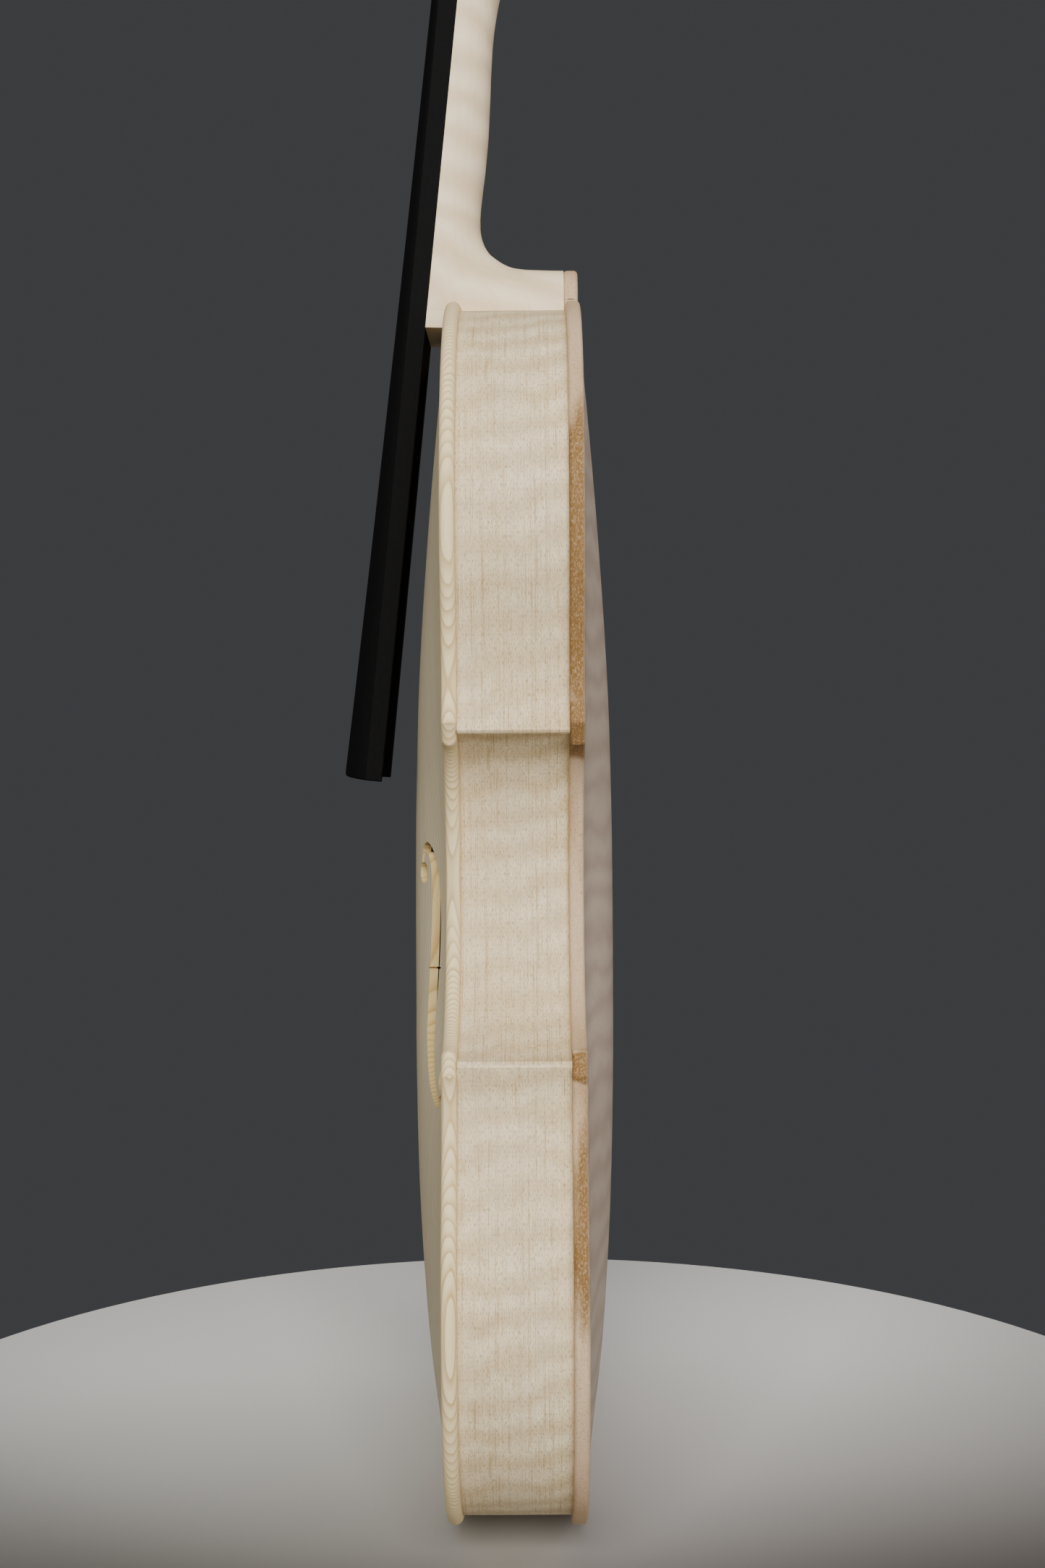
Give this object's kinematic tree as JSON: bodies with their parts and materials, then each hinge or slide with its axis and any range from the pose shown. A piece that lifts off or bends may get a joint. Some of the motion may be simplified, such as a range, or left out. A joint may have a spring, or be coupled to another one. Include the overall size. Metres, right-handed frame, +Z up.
{
  "type": "violin",
  "caption": "Full-size violin in the white: arched spruce front, maple back and ribs, neck with scroll, ebony fingerboard, nut and turning pegs.",
  "frame": {"origin": "mouth of the end-pin hole, on the outer face of the lower ribs at the centre line, mid rib height", "axes": "+Z up the body towards the scroll, +X out of the back, -X out of the front, +Y to the bass side"},
  "size_m": [0.0892, 0.208, 0.5862],
  "materials": {
    "spruce": "bare fine-grained spruce",
    "back_maple": "bare maple, pinkish end grain",
    "rib_maple": "bare flamed maple",
    "neck_maple": "smooth bare maple",
    "inner_spruce": "bare sawn spruce",
    "purfling_black": "dyed veneer",
    "purfling_white": "plain veneer",
    "ebony": "satin black ebony",
    "peg_ebony": "polished ebony"
  },
  "bodies": {
    "violin": {"front_plate_treble": "spruce", "back_plate_treble": "back_maple", "upper_rib_treble": "rib_maple", "waist_rib_treble": "rib_maple", "lower_rib_treble": "rib_maple", "upper_corner_block_treble": "inner_spruce", "lower_corner_block_treble": "inner_spruce", "front_upper_lining_treble": "inner_spruce", "front_waist_lining_treble": "inner_spruce", "front_lower_lining_treble": "inner_spruce", "back_upper_lining_treble": "inner_spruce", "back_waist_lining_treble": "inner_spruce", "back_lower_lining_treble": "inner_spruce", "front_plate_bass": "spruce", "back_plate_bass": "back_maple", "upper_rib_bass": "rib_maple", "waist_rib_bass": "rib_maple", "lower_rib_bass": "rib_maple", "upper_corner_block_bass": "inner_spruce", "lower_corner_block_bass": "inner_spruce", "front_upper_lining_bass": "inner_spruce", "front_waist_lining_bass": "inner_spruce", "front_lower_lining_bass": "inner_spruce", "back_upper_lining_bass": "inner_spruce", "back_waist_lining_bass": "inner_spruce", "back_lower_lining_bass": "inner_spruce", "neck_block": "inner_spruce", "end_block": "inner_spruce", "bass_bar": "inner_spruce", "sound_post": "inner_spruce", "front_purfling_black": "purfling_black", "front_purfling_white": "purfling_white", "back_purfling_black": "purfling_black", "back_purfling_white": "purfling_white", "neck": "neck_maple", "fingerboard": "ebony", "nut": "ebony"},
    "peg_g": {"peg_g": "peg_ebony"},
    "peg_e": {"peg_e": "peg_ebony"},
    "peg_d": {"peg_d": "peg_ebony"},
    "peg_a": {"peg_a": "peg_ebony"}
  },
  "joints": [
    {"name": "peg_g_turn", "type": "hinge", "parent": "violin", "child": "peg_g", "pos_m": [0.00164, 0, 0.49545], "axis": [0, 1, 0], "continuous": true},
    {"name": "peg_e_turn", "type": "hinge", "parent": "violin", "child": "peg_e", "pos_m": [0.00556, 0, 0.50911], "axis": [0, -1, 0], "continuous": true},
    {"name": "peg_d_turn", "type": "hinge", "parent": "violin", "child": "peg_d", "pos_m": [0.00999, 0, 0.52273], "axis": [0, 1, 0], "continuous": true},
    {"name": "peg_a_turn", "type": "hinge", "parent": "violin", "child": "peg_a", "pos_m": [0.01371, 0, 0.53441], "axis": [0, -1, 0], "continuous": true}
  ]
}
